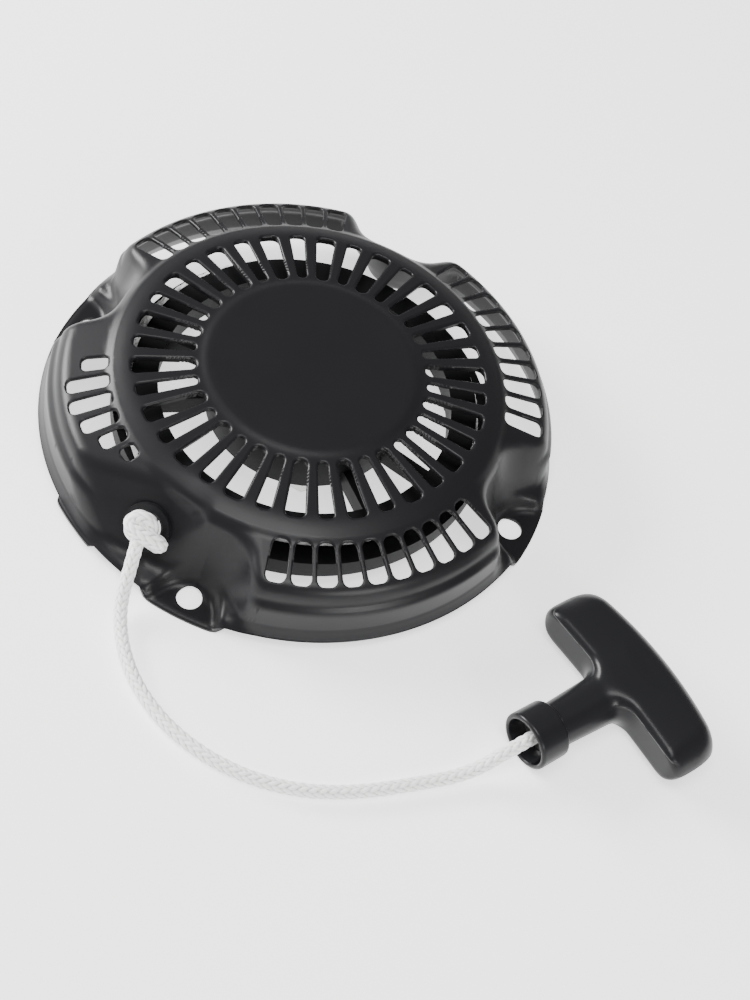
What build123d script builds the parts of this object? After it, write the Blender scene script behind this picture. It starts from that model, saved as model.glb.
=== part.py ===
"""Recoil (pull) starter of a small air-cooled engine, in millimetres.

Z = 0 is the plane of the four mounting ears, +Z points away from the engine.
The starter axis is the Z axis and the bolt holes lie on the X and Y axes.
"""
import math
import os

from build123d import *

os.makedirs("parts", exist_ok=True)

# ---- driving dimensions ------------------------------------------------
SHEET = 1.2            # pressed steel thickness of the case
RIM_R = 95.0           # outer radius of the case at its lip
RIM_Z = 4.5            # height of the lip above the ears
DISC_R = 38.0          # flat centre disc
DISC_Z = 38.0          # top of the centre disc
BOLT_R = 87.0          # bolt circle radius
BOLT_HOLE_R = 4.5      # clearance hole in each ear
EAR_ANGLES = (0, 90, 180, 270)
CROWN_SLOTS = 36
SLOT_PITCH = 10.0
CROWN_TURN = 0.4       # angle of the first crown slot
EAR_R = 95.8           # outer edge of the ears
PAD_R = 8.8            # dish round each bolt, at its floor
PAD_SIDE = 25.0        # angle at which the dish opens outwards
WEDGE_Z = 6.2          # flat ground beside the dish
VALLEY_FAR = 112.0
VALLEY_UP_Z = 29.0
VALLEY_LOW = (78.6, 78.5, 3.5, 53.8)   # inner end, corner u and v, half width at VALLEY_FAR
VALLEY_UP = (74.4, 73.4, 12.0, 42.5)
LOBE_ANGLES = (45, 135, 315)
LOBE_SLOTS = 10
LOBE_PITCH = 6.0
OUTLET_LOBE = 223.0    # lobe that is cut away for the rope outlet
OUTLET_SLOTS = 6
OUTLET_PITCH = 6.2
FACET_Y = -71.0        # outlet facet at FACET_Z
FACET_Z = 27.0
FACET_SLOPE = 0.66     # outward travel per millimetre down
EYE_X = -22.7
EYE_Z = 16.6
EYE_BORE_R = 5.2
ROPE_R = 2.5
COIL_OUT_R = 65.0
COIL_Z = 17.8
POST_R = 8.0
BORE_GAP = 0.05
REEL_FLANGE_R = 69.5
REEL_TOP_FLANGE_R = 63.0
CUP_R = 37.2
PAWL_R = 26.0
HANDLE_MOUTH = (124.9, -85.6, 10.6)
HANDLE_ANGLE = 59.4   # direction from the mouth to the bar
BAR_LENGTH = 76.0
COLLAR_R = 10.5

written = []


def save(shape, name):
    export_step(shape, "parts/" + name + ".step")
    box = shape.bounding_box()
    written.append(name)
    print(name, "vol %.1f" % shape.volume, "z %.2f..%.2f" % (box.min.Z, box.max.Z))


def cyl(radius, z0, z1, x=0.0, y=0.0):
    return Pos(x, y, z0) * Cylinder(radius, z1 - z0, align=(Align.CENTER, Align.CENTER, Align.MIN))


def ring(outer, inner, z0, z1, x=0.0, y=0.0):
    return cyl(outer, z0, z1, x, y) - cyl(inner, z0 - 0.01, z1 + 0.01, x, y)


def box(x0, x1, y0, y1, z0, z1):
    mid = Pos((x0 + x1) / 2, (y0 + y1) / 2, (z0 + z1) / 2)
    return mid * Box(x1 - x0, y1 - y0, z1 - z0)


def revolved(points):
    face = make_face(Polyline(*[(r, 0, z) for r, z in points], close=True))
    return revolve(face, Axis.Z, 360)


# ---- case ----------------------------------------------------------------
def case_profile(t, floor):
    """Outer profile of the pressed case, moved inwards by t."""
    low = [(0, floor)]
    if floor < RIM_Z:
        low.append((RIM_R - 1.2 * t, floor))
    return low + [
        (RIM_R - 1.2 * t, RIM_Z),
        (93.6 - t, 7.2 - 0.5 * t),
        (93.0 - t, 9.0 - 0.5 * t),
        (92.5 - t, 18.6 - 0.8 * t),
        (90.6 - t, 20.0 - t),
        (89.9 - t, 24.6 - t),
        (88.9 - t, 26.5 - t),
        (86.9 - 0.6 * t, 27.4 - t),
        (71.6 - 0.3 * t, 31.9 - t),
        (70.3 - 0.4 * t, 32.8 - t),
        (68.4 - 0.5 * t, 34.1 - t),
        (65.4 - 0.3 * t, 34.6 - t),
        (42.0, 36.7 - t),
        (39.6, 37.1 - t),
        (DISC_R, DISC_Z - t),
        (0, DISC_Z - t),
    ]


def pad_wire(z, radius):
    """U-shaped outline of the dish round a bolt, open outwards, at height z."""
    centre = BOLT_R + 1.0
    side = math.radians(PAD_SIDE)
    px = centre - radius * math.sin(side)
    py = radius * math.cos(side)
    half = py + (VALLEY_FAR - px) * math.tan(side)
    arc = ThreePointArc((px, -py, z), (centre - radius, 0, z), (px, py, z))
    top = Line((px, py, z), (VALLEY_FAR, half, z))
    end = Line((VALLEY_FAR, half, z), (VALLEY_FAR, -half, z))
    low = Line((VALLEY_FAR, -half, z), (px, -py, z))
    return make_face(Wire([arc.edge(), top.edge(), end.edge(), low.edge()]))


def valley_wire(z, t):
    """Outline of the space between two lobes at height z, grown by t."""
    f = (z - WEDGE_Z) / (VALLEY_UP_Z - WEDGE_Z)
    inner, corner_u, corner_v, half = [a + (b - a) * f for a, b in zip(VALLEY_LOW, VALLEY_UP)]
    side = math.atan2(half - corner_v, VALLEY_FAR - corner_u)
    px = corner_u - t
    py = corner_v + t * math.cos(side) / (1 + math.sin(side))
    wide = py + (VALLEY_FAR - px) * math.tan(side)
    arc = ThreePointArc((px, -py, z), (inner - t, 0, z), (px, py, z))
    top = Line((px, py, z), (VALLEY_FAR, wide, z))
    end = Line((VALLEY_FAR, wide, z), (VALLEY_FAR, -wide, z))
    low = Line((VALLEY_FAR, -wide, z), (px, -py, z))
    return make_face(Wire([arc.edge(), top.edge(), end.edge(), low.edge()]))


def valley(angle, t, top):
    """Space above one ear, grown by t on every side."""
    shelf = WEDGE_Z - t
    dish = loft([
        pad_wire(SHEET - t, PAD_R + 0.4 * t),
        pad_wire(WEDGE_Z - 0.5 * t, PAD_R + 2.4 + 0.9 * t),
    ], ruled=True)
    walls = loft([valley_wire(shelf, t), valley_wire(top, t)], ruled=True)
    return Rot(0, 0, angle) * (dish + walls)


def facet_cut(t, top):
    """Space in front of the sloping rope-outlet facet, grown by t."""
    y_top = FACET_Y + (top - FACET_Z) * FACET_SLOPE + 1.2 * t
    z_low = 6.0 - 0.6 * t
    y_low = FACET_Y - (FACET_Z - z_low) * FACET_SLOPE + 1.2 * t
    pts = [(0, y_low, z_low), (0, y_top, top), (0, -130, top), (0, -130, z_low)]
    face = make_face(Polyline(*pts, close=True))
    x0 = -66.0
    x1 = -6.0 + t
    return Pos(x0, 0, 0) * extrude(face, amount=x1 - x0, dir=(1, 0, 0))


outer = revolved(case_profile(0.0, RIM_Z))
inner = revolved(case_profile(SHEET, -2.0))
for a in EAR_ANGLES:
    foot = valley(a, SHEET, 34.0) & cyl(EAR_R, 0, WEDGE_Z)
    outer = outer + foot
for a in EAR_ANGLES:
    outer = outer - valley(a, 0.0, 44.0)
    inner = inner - valley(a, SHEET, 44.0)
outer = outer - facet_cut(0.0, 44.0)
inner = inner - facet_cut(SHEET, 44.0)
crown = cyl(70.3, 30.0, 44.0)
keep = revolved(case_profile(0.0, RIM_Z)) & crown
keep_in = revolved(case_profile(SHEET, -2.0)) & cyl(70.3 - SHEET, 29.0, 44.0)
outer = outer + keep
inner = inner + keep_in
case = outer - inner


def trapezoid(r0, r1, w0, w1, z0, z1, corner):
    pts = [(r0, -w0 / 2), (r1, -w1 / 2), (r1, w1 / 2), (r0, w0 / 2)]
    face = make_face(Polyline(*pts, close=True))
    face = fillet(face.vertices(), corner)
    return Pos(0, 0, z0) * extrude(face, amount=z1 - z0)


narrow = trapezoid(41.9, 63.7, 3.4, 5.3, 20, 44, 1.5)
wide = trapezoid(41.6, 64.0, 4.4, 6.9, 20, 44, 2.0)
lip = trapezoid(40.8, 64.8, 6.0, 8.5, 31.4, 36.9, 2.7)
lobe_slot = trapezoid(71.9, 86.6, 5.9, 7.0, 20, 44, 2.3)
wide_list = [Rot(0, 0, CROWN_TURN + SLOT_PITCH * k) * wide for k in range(1, CROWN_SLOTS, 2)]
narrow_list = [Rot(0, 0, CROWN_TURN + SLOT_PITCH * k) * narrow for k in range(0, CROWN_SLOTS, 2)]
lip_zone = revolved([(40, 31.4), (66, 31.4), (66, 33.9), (42, 36.0), (40, 36.2)])
lips = [Rot(0, 0, CROWN_TURN + SLOT_PITCH * k) * (lip & lip_zone) for k in range(1, CROWN_SLOTS, 2)]
case = case.fuse(*lips)
lobe_list = []
for a in LOBE_ANGLES:
    for k in range(LOBE_SLOTS):
        turn = a + (k - (LOBE_SLOTS - 1) / 2) * LOBE_PITCH
        lobe_list.append(Rot(0, 0, turn) * lobe_slot)
OUTLET_REACH = (81.0, 86.4, 86.6, 84.6, 81.0, 77.0)
for k in range(OUTLET_SLOTS):
    turn = OUTLET_LOBE + (k - (OUTLET_SLOTS - 1) / 2) * OUTLET_PITCH
    reach = OUTLET_REACH[k]
    lobe_list.append(Rot(0, 0, turn) * trapezoid(71.9, reach, 5.6, 6.0, 20, 44, 1.9))
case = case.cut(*wide_list, *narrow_list, *lobe_list)
bolt_holes = [cyl(BOLT_HOLE_R, -2, 8, BOLT_R * math.cos(math.radians(a)),
                  BOLT_R * math.sin(math.radians(a))) for a in EAR_ANGLES]
case = case.cut(*bolt_holes)
slope = math.atan(FACET_SLOPE)
EYE_Y = FACET_Y - (FACET_Z - EYE_Z) * FACET_SLOPE
eye_plane = Plane(origin=(EYE_X, EYE_Y, EYE_Z), x_dir=(1, 0, 0), z_dir=(0, -math.cos(slope), math.sin(slope)))


def eye_ring(outer_r, inner_r, h0, h1):
    tube = Cylinder(outer_r, h1 - h0, align=(Align.CENTER, Align.CENTER, Align.MIN))
    hole = Cylinder(inner_r, h1 - h0 + 0.02, align=(Align.CENTER, Align.CENTER, Align.MIN))
    return eye_plane * (Pos(0, 0, h0) * tube - Pos(0, 0, h0 - 0.01) * hole)


case = case - eye_plane * Cylinder(6.6, 8)
tab = extrude(Pos(0, 0, RIM_Z) * Rot(0, 0, 239.5) * Pos(95.2, 0, 0) * Rectangle(2.6, 21), amount=SHEET)
case = case + tab
case = case & cyl(97.4, -1, 60)
save(case, "housing_case")

# ---- centre post, screw and washer ---------------------------------------
post = cyl(22.0, DISC_Z - SHEET - 1.4, DISC_Z - SHEET)
post = post + cyl(POST_R, 10.0, DISC_Z - SHEET - 1.4) + cyl(5.0, 7.0, 10.0)
post = post - cyl(2.5, 6.9, 24.0) - box(-0.65, 0.65, 3.6, 9.0, 24.5, 34.2)
save(post, "centre_post")
washer = ring(10.0, 3.1, 5.6, 7.0)
save(washer, "screw_washer")
hexagon = Pos(0, 0, 1.8) * extrude(RegularPolygon(5.6, 6), amount=3.8)
screw = hexagon + cyl(2.5, 5.6, 19.0)
save(screw, "centre_screw")

# ---- rope eyelet -----------------------------------------------------------
eyelet = eye_ring(8.6, EYE_BORE_R, 0.0, 2.2)
eyelet = eyelet + eye_ring(6.5, EYE_BORE_R, -2.2, 0.0)
eyelet = eyelet + eye_ring(7.6, EYE_BORE_R, -2.6, -1.3)
rims = [e for e in eyelet.edges().filter_by(GeomType.CIRCLE) if abs(e.radius - EYE_BORE_R) < 0.05]
eyelet = chamfer(rims, 1.0)
save(eyelet, "rope_eyelet")

# ---- reel ------------------------------------------------------------------
reel = ring(12.0, POST_R + BORE_GAP, 9.9, 24.4)
reel = reel + ring(CUP_R, 11.0, 22.8, 24.4) + ring(CUP_R, CUP_R - 1.8, 22.8, 34.4)
reel = reel + ring(36.0, 11.0, 14.2, 16.2) + ring(36.0, 34.0, 14.2, 23.0)
reel = reel + ring(55.4, 53.6, 13.1, 22.7)
reel = reel + ring(REEL_FLANGE_R, 53.6, 13.1, 14.9) + ring(REEL_FLANGE_R, REEL_FLANGE_R - 1.8, 7.1, 14.9)
reel = reel + ring(REEL_TOP_FLANGE_R, 53.6, 20.9, 22.7)
SPOKE_CENTRES = (199.35, 334.35, 86.85)
for a in SPOKE_CENTRES:
    for d in (-15, 15):
        reel = reel + Rot(0, 0, a + d) * box(35.6, 54.4, -1.6, 1.6, 14.3, 22.2)
for k in range(12):
    reel = reel + Rot(0, 0, 30 * k + 5) * box(54.8, 68.4, -0.8, 0.8, 8.6, 13.4)
for k in range(6):
    reel = reel + Rot(0, 0, 60 * k + 15) * box(11.4, 34.6, -1.0, 1.0, 16.0, 23.0)
START_DEG = 120.0
coil_start = math.radians(START_DEG)
KNOT_R = 47.2
KX = KNOT_R * math.cos(coil_start)
KY = KNOT_R * math.sin(coil_start)
hole = Rot(0, 0, START_DEG) * Pos(54.5, 0, COIL_Z) * Rot(0, 90, 0) * Cylinder(2.8, 6)
slit = Rot(0, 0, 30) * box(34.5, 38.0, -0.8, 0.8, 24.6, 35.0)
reel = reel - hole - slit
for a in (90, 270):
    reel = reel + Rot(0, 0, a) * cyl(3.0, 12.2, 14.4, PAWL_R, 0)
save(reel, "reel")

pins = None
for a in (90, 270):
    one = Rot(0, 0, a) * (cyl(2.5, 7.3, 12.2, PAWL_R, 0) + cyl(3.6, 6.5, 7.3, PAWL_R, 0))
    pins = one if pins is None else pins + one
save(pins, "pawl_pins")

# ---- main spring -------------------------------------------------------------
SPRING_T = 0.7
SPRING_IN = 9.6
SPRING_OUT = 33.6
TURNS = 9.0 + 300.0 / 360.0


def spiral_pt(turn, off):
    r = SPRING_IN + (SPRING_OUT - SPRING_IN) * turn / TURNS + off
    ang = math.radians(90.0) + 2 * math.pi * turn
    return (r * math.cos(ang), r * math.sin(ang))


steps = int(TURNS * 16)
out_pts = [spiral_pt(TURNS * k / steps, SPRING_T / 2) for k in range(steps + 1)]
in_pts = [spiral_pt(TURNS * k / steps, -SPRING_T / 2) for k in range(steps + 1)]
outline = Wire([
    Spline(*out_pts).edge(),
    Line(out_pts[-1], in_pts[-1]).edge(),
    Spline(*in_pts).edge(),
    Line(in_pts[0], out_pts[0]).edge(),
])
spiral = extrude(make_face(outline), amount=8.4)
spring = Pos(0, 0, 25.0) * spiral
spring = spring + box(-0.35, 0.35, 4.4, 9.8, 25.0, 33.4)
spring = spring + Rot(0, 0, 30) * box(33.4, 38.4, -0.35, 0.35, 25.0, 33.4)
save(spring, "main_spring")
cover = ring(35.2, 9.4, 33.6, 34.3)
for k in range(6):
    window = extrude(SlotArc(CenterArc((0, 0), 24, -16, 32), 6), amount=2)
    cover = cover - Rot(0, 0, 60 * k) * Pos(0, 0, 33) * window
save(cover, "spring_cover")

# ---- rope ----------------------------------------------------------------------
eye_r = math.hypot(EYE_X, EYE_Y)
eye_a = math.atan2(EYE_Y, EYE_X)
tan_a = eye_a - math.acos(COIL_OUT_R / eye_r)
tx = COIL_OUT_R * math.cos(tan_a)
ty = COIL_OUT_R * math.sin(tan_a)
COIL_IN_R = 55.4 + ROPE_R + 0.1
start_a = coil_start
span = (tan_a - start_a) % (2 * math.pi) + 2 * math.pi
coil_pts = []
for k in range(41):
    f = k / 40
    r = COIL_IN_R + (COIL_OUT_R - COIL_IN_R) * min(1.0, f * 1.06)
    g = start_a + span * f
    coil_pts.append((r * math.cos(g), r * math.sin(g), COIL_Z))
coil_path = Spline(*coil_pts)
coil = sweep(Plane(origin=coil_path @ 0, z_dir=coil_path % 0) * Circle(ROPE_R), path=coil_path)
print("wound rope length %.1f" % coil_path.length, "turns %.2f" % (span / 2 / math.pi))
save(coil, "wound_rope")
stub = Rot(0, 0, START_DEG) * Pos(0, 0, COIL_Z) * Rot(0, 90, 0) * cyl(ROPE_R, KNOT_R, 55.2)
reel_knot = Pos(KX, KY, COIL_Z) * Sphere(5.6) + stub - coil - ring(55.5, 53.5, 10, 24)
reel_knot = reel_knot + (stub & ring(55.4, 53.6, 10, 24))
save(reel_knot, "reel_knot")


def tube_on(points, radii, radius):
    """Round tube on straight runs joined by tangent arcs."""
    line = FilletPolyline(*points, radius=radii)
    tube = sweep(Plane(origin=line @ 0, z_dir=line % 0) * Circle(radius), path=line)
    print("tube length %.1f" % line.length)
    return tube


def route_radii(points):
    """Bend radius at each inner point: 0.45 of the shorter run over the tangent of half the turn."""
    out = []
    for a, b, c in zip(points, points[1:], points[2:]):
        u = Vector(*b) - Vector(*a)
        v = Vector(*c) - Vector(*b)
        turn = math.radians(u.get_angle(v))
        out.append(0.45 * min(u.length, v.length) / math.tan(turn / 2))
    return out


KNOT_BALL = 7.0
KNOT_OUT = 5.5         # knot's centre out from the facet
KNOT_UP = 1.2          # and up it, from the eyelet's axis
KNOT_SIDE = -0.6
knot_c = (
    EYE_X + KNOT_SIDE,
    EYE_Y - KNOT_OUT * math.cos(slope) + KNOT_UP * math.sin(slope),
    EYE_Z + KNOT_OUT * math.sin(slope) + KNOT_UP * math.cos(slope),
)
out_half = eye_plane * Pos(0, 0, 2.2 + 15) * Box(60, 60, 30)
ball = Pos(*knot_c) * Rot(34, 0, 20) * Sphere(KNOT_BALL)
ball = ball & out_half
EXIT_GAP = 1.7
EXIT = [
    (tx - EXIT_GAP * math.sin(tan_a), ty + EXIT_GAP * math.cos(tan_a), COIL_Z),
    (EYE_X, -69.5, COIL_Z - 0.4),
    (EYE_X, EYE_Y - 7.0 * math.cos(slope) - 1.3 * math.sin(slope),
     EYE_Z + 7.0 * math.sin(slope) - 1.3 * math.cos(slope)),
]
exit_radii = route_radii(EXIT)
print("exit radii", [round(r, 1) for r in exit_radii])
exit_tube = tube_on(EXIT, exit_radii, ROPE_R)
exit_tube = exit_tube - ball - eyelet
exit_tube = max(exit_tube.solids(), key=lambda s: s.volume)
save(exit_tube, "exit_strand")

u_dir = (math.cos(math.radians(HANDLE_ANGLE)), math.sin(math.radians(HANDLE_ANGLE)), 0.0)
FERRULE_IN = 7.0
MOUTH_RUN = 6.0        # straight rope in front of the handle's mouth
end = tuple(m + FERRULE_IN * u for m, u in zip(HANDLE_MOUTH, u_dir))
ROUTE = [
    knot_c,
    (-20.9, -92.6, 12.2),
    (-18.2, -104.6, 3.2),
    (-8.8, -118.9, 2.6),
    (4.5, -130.3, 2.6),
    (22.0, -138.0, 2.6),
    (42.0, -140.4, 2.6),
    (63.0, -136.9, 2.6),
    (82.0, -127.2, 2.6),
    (98.5, -114.0, 2.6),
    (113.0, -101.8, 3.4),
    tuple(m - MOUTH_RUN * u for m, u in zip(HANDLE_MOUTH, u_dir)),
    end,
]
free_radii = route_radii(ROUTE)
print("free rope radii", [round(r, 1) for r in free_radii])
free = tube_on(ROUTE, free_radii, ROPE_R)
free = free - ball
free = max(free.solids(), key=lambda s: s.volume)
print("free rope z", free.bounding_box().min.Z)
save(free, "free_rope")
save(ball, "eyelet_knot")

# ---- pawls, guide and springs --------------------------------------------------
def pawl(angle):
    pts = [(PAWL_R - 3.6, -3.4), (PAWL_R + 3.6, -3.4), (PAWL_R + 4.4, 4.0), (PAWL_R + 5.2, 15.0),
           (PAWL_R + 1.0, 19.0), (PAWL_R - 2.6, 16.5), (PAWL_R - 4.0, 6.0)]
    body = Pos(0, 0, 8.2) * extrude(fillet(make_face(Polyline(*pts, close=True)).vertices(), 1.2), amount=3.8)
    body = body - cyl(2.55, 8, 12.2, PAWL_R, 0)
    stud = cyl(1.4, 6.9, 8.3, PAWL_R - 2.0, 8.0)
    return Rot(0, 0, angle) * (body + stud)


save(pawl(90), "pawl_a")
save(pawl(270), "pawl_b")

guide = cyl(14.0, 8.3, 9.6)
for a in (90, 270):
    guide = guide + Rot(0, 0, a) * Pos(0, 0, 8.3) * extrude(
        make_face(Polyline((8, -8), (19.4, -6.0), (19.4, 3.0), (12, 9), close=True)), amount=1.3)
guide = guide - cyl(5.05, 8, 10)
guide = guide + ring(8.0, 5.05, 7.1, 8.4)
save(guide, "ratchet_guide")
clip = ring(13.6, 12.6, 9.65, 10.75) - Rot(0, 0, 20) * box(8, 16, -3, 3, 9, 12)
clip = clip + Rot(0, 0, 33) * box(13.0, 18.5, -0.5, 0.5, 9.65, 10.75)
save(clip, "friction_spring")
hair = None
for a in (90, 270):
    one = Rot(0, 0, a) * (ring(3.9, 2.7, 12.3, 14.1, PAWL_R, 0) - ring(3.3, 2.6, 12.2, 14.2, PAWL_R, 0))
    hair = one if hair is None else hair + one
save(hair, "pawl_springs")

# ---- handle ----------------------------------------------------------------------
def handle_frame(shape):
    """From bar coordinates (neck along +X from the mouth, bar along Y) to the object."""
    return Pos(*HANDLE_MOUTH) * Rot(0, 0, HANDLE_ANGLE) * shape


BAR_X = 48.7
half = BAR_LENGTH / 2
inner_x = BAR_X - 11.6
outer_edge = ThreePointArc((BAR_X + 8.2, -half + 3, 0), (BAR_X + 13.2, 0, 0), (BAR_X + 8.2, half - 3, 0))
bar_face = make_face(Wire([
    outer_edge.edge(),
    Line((BAR_X + 8.2, half - 3, 0), (BAR_X + 2.0, half, 0)).edge(),
    Line((BAR_X + 2.0, half, 0), (BAR_X - 13.2, half - 2.5, 0)).edge(),
    ThreePointArc((BAR_X - 13.2, half - 2.5, 0), (inner_x, 0, 0), (BAR_X - 13.2, -half + 2.5, 0)).edge(),
    Line((BAR_X - 13.2, -half + 2.5, 0), (BAR_X + 2.0, -half, 0)).edge(),
    Line((BAR_X + 2.0, -half, 0), (BAR_X + 8.2, -half + 3, 0)).edge(),
]))
bar_face = fillet(bar_face.vertices(), 4.0)
bar = extrude(bar_face, amount=9.0, both=True)
rim_edges = bar.edges().filter_by_position(Axis.Z, 8.9, 9.1) + bar.edges().filter_by_position(Axis.Z, -9.1, -8.9)
bar = fillet(rim_edges, 3.6)
lie = Rot(0, 90, 0)
neck = lie * Cone(7.4, 9.2, 41, align=(Align.CENTER, Align.CENTER, Align.MIN))
collar = lie * cyl(COLLAR_R, 0, 12.0)
collar = fillet(collar.edges().filter_by(GeomType.CIRCLE), 1.2)
grip = bar + neck + collar
socket = lie * cyl(8.4, -0.01, 11.99)
bore = lie * cyl(6.0, 0, 30.0)
grip = grip - socket - bore
grip = handle_frame(grip)
save(grip, "grip")
ferrule = lie * cyl(8.35, FERRULE_IN, FERRULE_IN + 4.9)
ferrule = ferrule + lie * cyl(5.95, FERRULE_IN + 4.9, FERRULE_IN + 8.9)
ferrule = ferrule - lie * cyl(2.6, FERRULE_IN - 1, FERRULE_IN + 13)
save(handle_frame(ferrule), "grip_ferrule")
stopper = Pos(FERRULE_IN + 8.9 + 5.0, 0, 0) * Sphere(5.6)
stopper = stopper & (lie * cyl(9, FERRULE_IN + 8.9, FERRULE_IN + 28.9))
stopper = stopper + lie * cyl(ROPE_R, FERRULE_IN, FERRULE_IN + 12)
save(handle_frame(stopper), "grip_knot")
print(len(written), "nodes")
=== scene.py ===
"""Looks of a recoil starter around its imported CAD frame. Everything is in metres."""
import math

import bpy
import numpy as np
from mathutils import Matrix, Vector
from mathutils.geometry import delaunay_2d_cdt


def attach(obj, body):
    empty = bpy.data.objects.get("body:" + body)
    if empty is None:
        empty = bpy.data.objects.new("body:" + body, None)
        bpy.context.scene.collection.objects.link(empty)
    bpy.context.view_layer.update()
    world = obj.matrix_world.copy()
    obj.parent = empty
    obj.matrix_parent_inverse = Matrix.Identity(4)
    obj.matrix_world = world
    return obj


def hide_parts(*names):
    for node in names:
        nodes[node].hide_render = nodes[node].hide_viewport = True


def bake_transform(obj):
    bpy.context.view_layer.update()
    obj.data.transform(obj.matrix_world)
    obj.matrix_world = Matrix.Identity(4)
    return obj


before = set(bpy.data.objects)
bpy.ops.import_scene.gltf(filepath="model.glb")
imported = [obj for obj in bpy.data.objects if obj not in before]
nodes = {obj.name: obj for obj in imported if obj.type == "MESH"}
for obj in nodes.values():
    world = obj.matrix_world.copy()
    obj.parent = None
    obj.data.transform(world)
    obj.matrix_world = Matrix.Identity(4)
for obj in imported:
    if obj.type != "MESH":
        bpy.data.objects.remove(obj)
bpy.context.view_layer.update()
MM = 0.001
TAU = 2 * math.pi

# ---- camera ----------------------------------------------------------------
RIM = 95 * MM                  # radius the camera's numbers are counted in
CAM_ELEVATION = math.radians(53.38)
CAM_ROLL = math.radians(17.39)
CAM_TURN = math.radians(10.35)
CAM_DISTANCE = 8.077 * RIM
CAM_SHIFT_X = -0.296 * RIM
CAM_SHIFT_Y = 0.305 * RIM
CAM_LENS = 74.95
BASE_LIFT = 4.5 * MM           # the lip the camera was set on stands above the ears

turn = Matrix.Rotation(CAM_TURN, 3, "Z")
flat_right = Vector((1, 0, 0))
flat_up = Vector((0, math.sin(CAM_ELEVATION), math.cos(CAM_ELEVATION)))
back = turn @ Vector((0, -math.cos(CAM_ELEVATION), math.sin(CAM_ELEVATION)))
cam_right = turn @ (math.cos(CAM_ROLL) * flat_right + math.sin(CAM_ROLL) * flat_up)
cam_up = turn @ (-math.sin(CAM_ROLL) * flat_right + math.cos(CAM_ROLL) * flat_up)
cam_data = bpy.data.cameras.new("camera")
cam_data.lens = CAM_LENS
cam_data.sensor_width = 36
cam_data.clip_start = 0.01
cam = bpy.data.objects.new("camera", cam_data)
bpy.context.scene.collection.objects.link(cam)
place = -CAM_SHIFT_X * cam_right - CAM_SHIFT_Y * cam_up + CAM_DISTANCE * back + Vector((0, 0, BASE_LIFT))
cam.matrix_world = Matrix.Translation(place) @ Matrix((cam_right, cam_up, back)).transposed().to_4x4()
bpy.context.scene.camera = cam


# ---- stage -------------------------------------------------------------------
def grey(v, a=1.0):
    return (v, v, v, a)


def new_material(name, base=(0.5, 0.5, 0.5), rough=0.5, metallic=0.0):
    mat = bpy.data.materials.new(name)
    mat.use_nodes = True
    shader = mat.node_tree.nodes["Principled BSDF"]
    shader.inputs["Base Color"].default_value = (*base, 1)
    shader.inputs["Roughness"].default_value = rough
    shader.inputs["Metallic"].default_value = metallic
    return mat, mat.node_tree, shader


def link_object(name, mesh):
    obj = bpy.data.objects.new(name, mesh)
    bpy.context.scene.collection.objects.link(obj)
    return obj


FLOOR = 6.0                    # from the middle to each side
floor_corners = [(-FLOOR, -FLOOR, 0), (FLOOR, -FLOOR, 0), (FLOOR, FLOOR, 0), (-FLOOR, FLOOR, 0)]
floor_mesh = bpy.data.meshes.new("floor")
floor_mesh.from_pydata(floor_corners, [], [(0, 1, 2, 3)])
floor = link_object("floor", floor_mesh)
floor_mat, _, floor_shader = new_material("floor", (0.82, 0.82, 0.82), 0.9)
floor_shader.inputs["Specular IOR Level"].default_value = 0.1
floor_shader.inputs["Emission Color"].default_value = grey(1.0)
floor_shader.inputs["Emission Strength"].default_value = 1.3
floor.data.materials.append(floor_mat)

world = bpy.data.worlds.new("world")
bpy.context.scene.world = world
world.use_nodes = True
world.node_tree.nodes["Background"].inputs["Color"].default_value = grey(1.0)
world.node_tree.nodes["Background"].inputs["Strength"].default_value = 0.38


def area_light(name, spot, target, size, energy):
    data = bpy.data.lights.new(name, "AREA")
    data.shape = "RECTANGLE"
    data.size = size[0]
    data.size_y = size[1]
    data.energy = energy
    obj = bpy.data.objects.new(name, data)
    bpy.context.scene.collection.objects.link(obj)
    obj.location = spot
    direction = Vector(target) - Vector(spot)
    obj.rotation_euler = direction.to_track_quat("-Z", "Y").to_euler()
    return obj


area_light("left softbox", (-1.15, 0.10, 0.54), (0.0, 0.0, 0.02), (0.8, 0.36), 42)
area_light("top softbox", (0.05, -0.30, 1.25), (0.03, -0.03, 0.0), (0.75, 0.5), 15)
area_light("right softbox", (1.0, -0.75, 0.5), (0.12, -0.08, 0.0), (0.4, 0.4), 9)

# ---- the facet and the eyelet, which the rope and the case share, in millimetres ----
FACET_Y = -71.0
FACET_Z = 27.0
FACET_SLOPE = 0.66             # outward travel per millimetre down
FACET_SIZE = math.hypot(1, FACET_SLOPE)
EYE_X = -22.7
EYE_Z = 16.6
EYE_Y = FACET_Y - (FACET_Z - EYE_Z) * FACET_SLOPE

# ---- the free rope's line ----------------------------------------------------
ROPE_D = 5.0 * MM
ROUTE = [
    (-0.0233, -0.0818, 0.0206),
    (-0.0209, -0.0926, 0.0122),
    (-0.0182, -0.1046, 0.0032),
    (-0.0088, -0.1189, 0.0026),
    (0.0045, -0.1303, 0.0026),
    (0.0220, -0.1380, 0.0026),
    (0.0420, -0.1404, 0.0026),
    (0.0630, -0.1369, 0.0026),
    (0.0820, -0.1272, 0.0026),
    (0.0985, -0.1140, 0.0026),
    (0.1130, -0.1018, 0.0034),
    (0.1218, -0.0908, 0.0106),
    (0.1285, -0.0796, 0.0106),
]


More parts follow.
